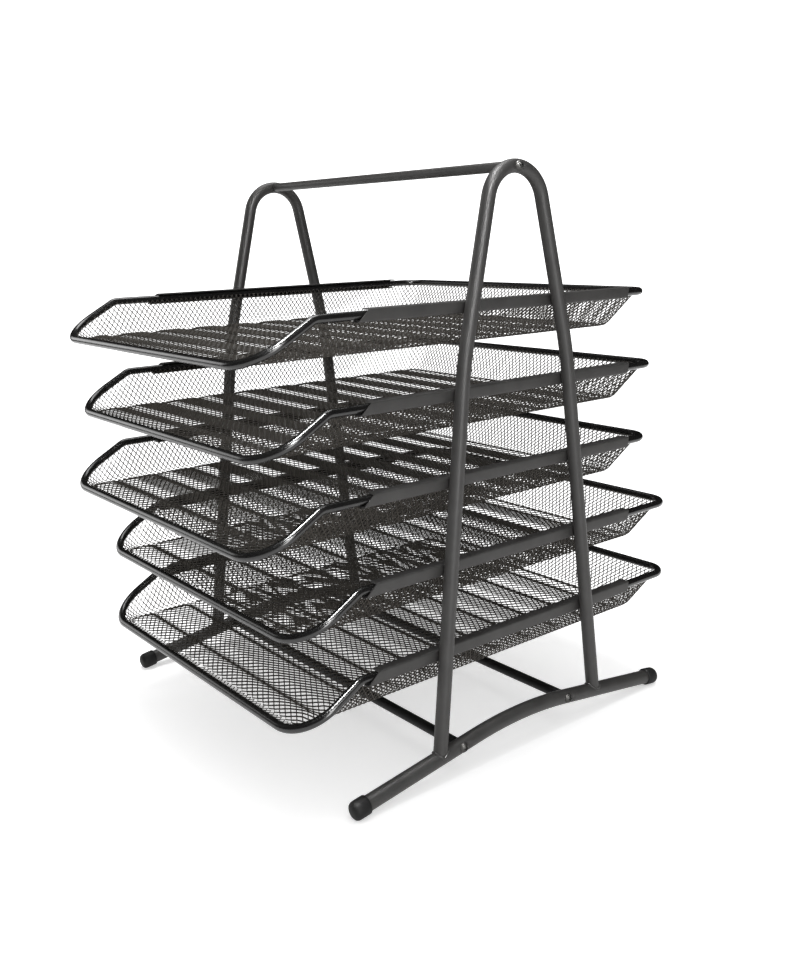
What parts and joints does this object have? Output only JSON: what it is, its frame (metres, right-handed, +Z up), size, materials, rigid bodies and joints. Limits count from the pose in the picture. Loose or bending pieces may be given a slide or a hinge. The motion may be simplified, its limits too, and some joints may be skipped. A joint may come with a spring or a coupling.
{
  "type": "mesh letter tray",
  "caption": "Desktop letter tray stand: tube hoops on arched feet, joined by a carrying rod, hold sliding wire-rimmed mesh trays in side rails.",
  "frame": {"origin": "on the floor, under the middle of the whole part with its trays as they are in the picture", "axes": "+Z up; +X across the stand, from the left hoop to the right hoop; trays pull out towards -Y"},
  "size_m": [0.3062, 0.3786, 0.3993],
  "materials": {
    "stand_steel": "satin charcoal powder coat",
    "rod_steel": "satin black powder coat",
    "rim_steel": "semi-gloss black powder coat",
    "mesh_steel": "satin black powder coat",
    "cap_plastic": "matt black",
    "screw_steel": "black zinc"
  },
  "bodies": {
    "stand": {"left_hoop": "stand_steel", "right_hoop": "stand_steel", "left_foot_bar": "stand_steel", "right_foot_bar": "stand_steel", "front_left_cap": "cap_plastic", "front_right_cap": "cap_plastic", "rear_left_cap": "cap_plastic", "rear_right_cap": "cap_plastic", "handle_rod": "rod_steel", "front_base_rod": "rod_steel", "rear_base_rod": "rod_steel", "handle_screws": "screw_steel", "base_screws": "screw_steel", "tray_1_left_rail": "stand_steel", "tray_1_right_rail": "stand_steel", "tray_2_left_rail": "stand_steel", "tray_2_right_rail": "stand_steel", "tray_3_left_rail": "stand_steel", "tray_3_right_rail": "stand_steel", "tray_4_left_rail": "stand_steel", "tray_4_right_rail": "stand_steel", "tray_5_left_rail": "stand_steel", "tray_5_right_rail": "stand_steel"},
    "tray_1": {"tray_1_rim": "rim_steel", "tray_1_basket": "mesh_steel"},
    "tray_2": {"tray_2_rim": "rim_steel", "tray_2_basket": "mesh_steel"},
    "tray_3": {"tray_3_rim": "rim_steel", "tray_3_basket": "mesh_steel"},
    "tray_4": {"tray_4_rim": "rim_steel", "tray_4_basket": "mesh_steel"},
    "tray_5": {"tray_5_rim": "rim_steel", "tray_5_basket": "mesh_steel"}
  },
  "joints": [
    {"name": "tray_1_slide", "type": "slide", "parent": "stand", "child": "tray_1", "axis": [0, -1, 0], "range_m": [-0.0275, 0.1225]},
    {"name": "tray_2_slide", "type": "slide", "parent": "stand", "child": "tray_2", "axis": [0, -1, 0], "range_m": [-0.0195, 0.1305]},
    {"name": "tray_3_slide", "type": "slide", "parent": "stand", "child": "tray_3", "axis": [0, -1, 0], "range_m": [-0.0265, 0.1235]},
    {"name": "tray_4_slide", "type": "slide", "parent": "stand", "child": "tray_4", "axis": [0, -1, 0], "range_m": [-0.001, 0.149]},
    {"name": "tray_5_slide", "type": "slide", "parent": "stand", "child": "tray_5", "axis": [0, -1, 0], "range_m": [-0.0025, 0.1475]}
  ]
}
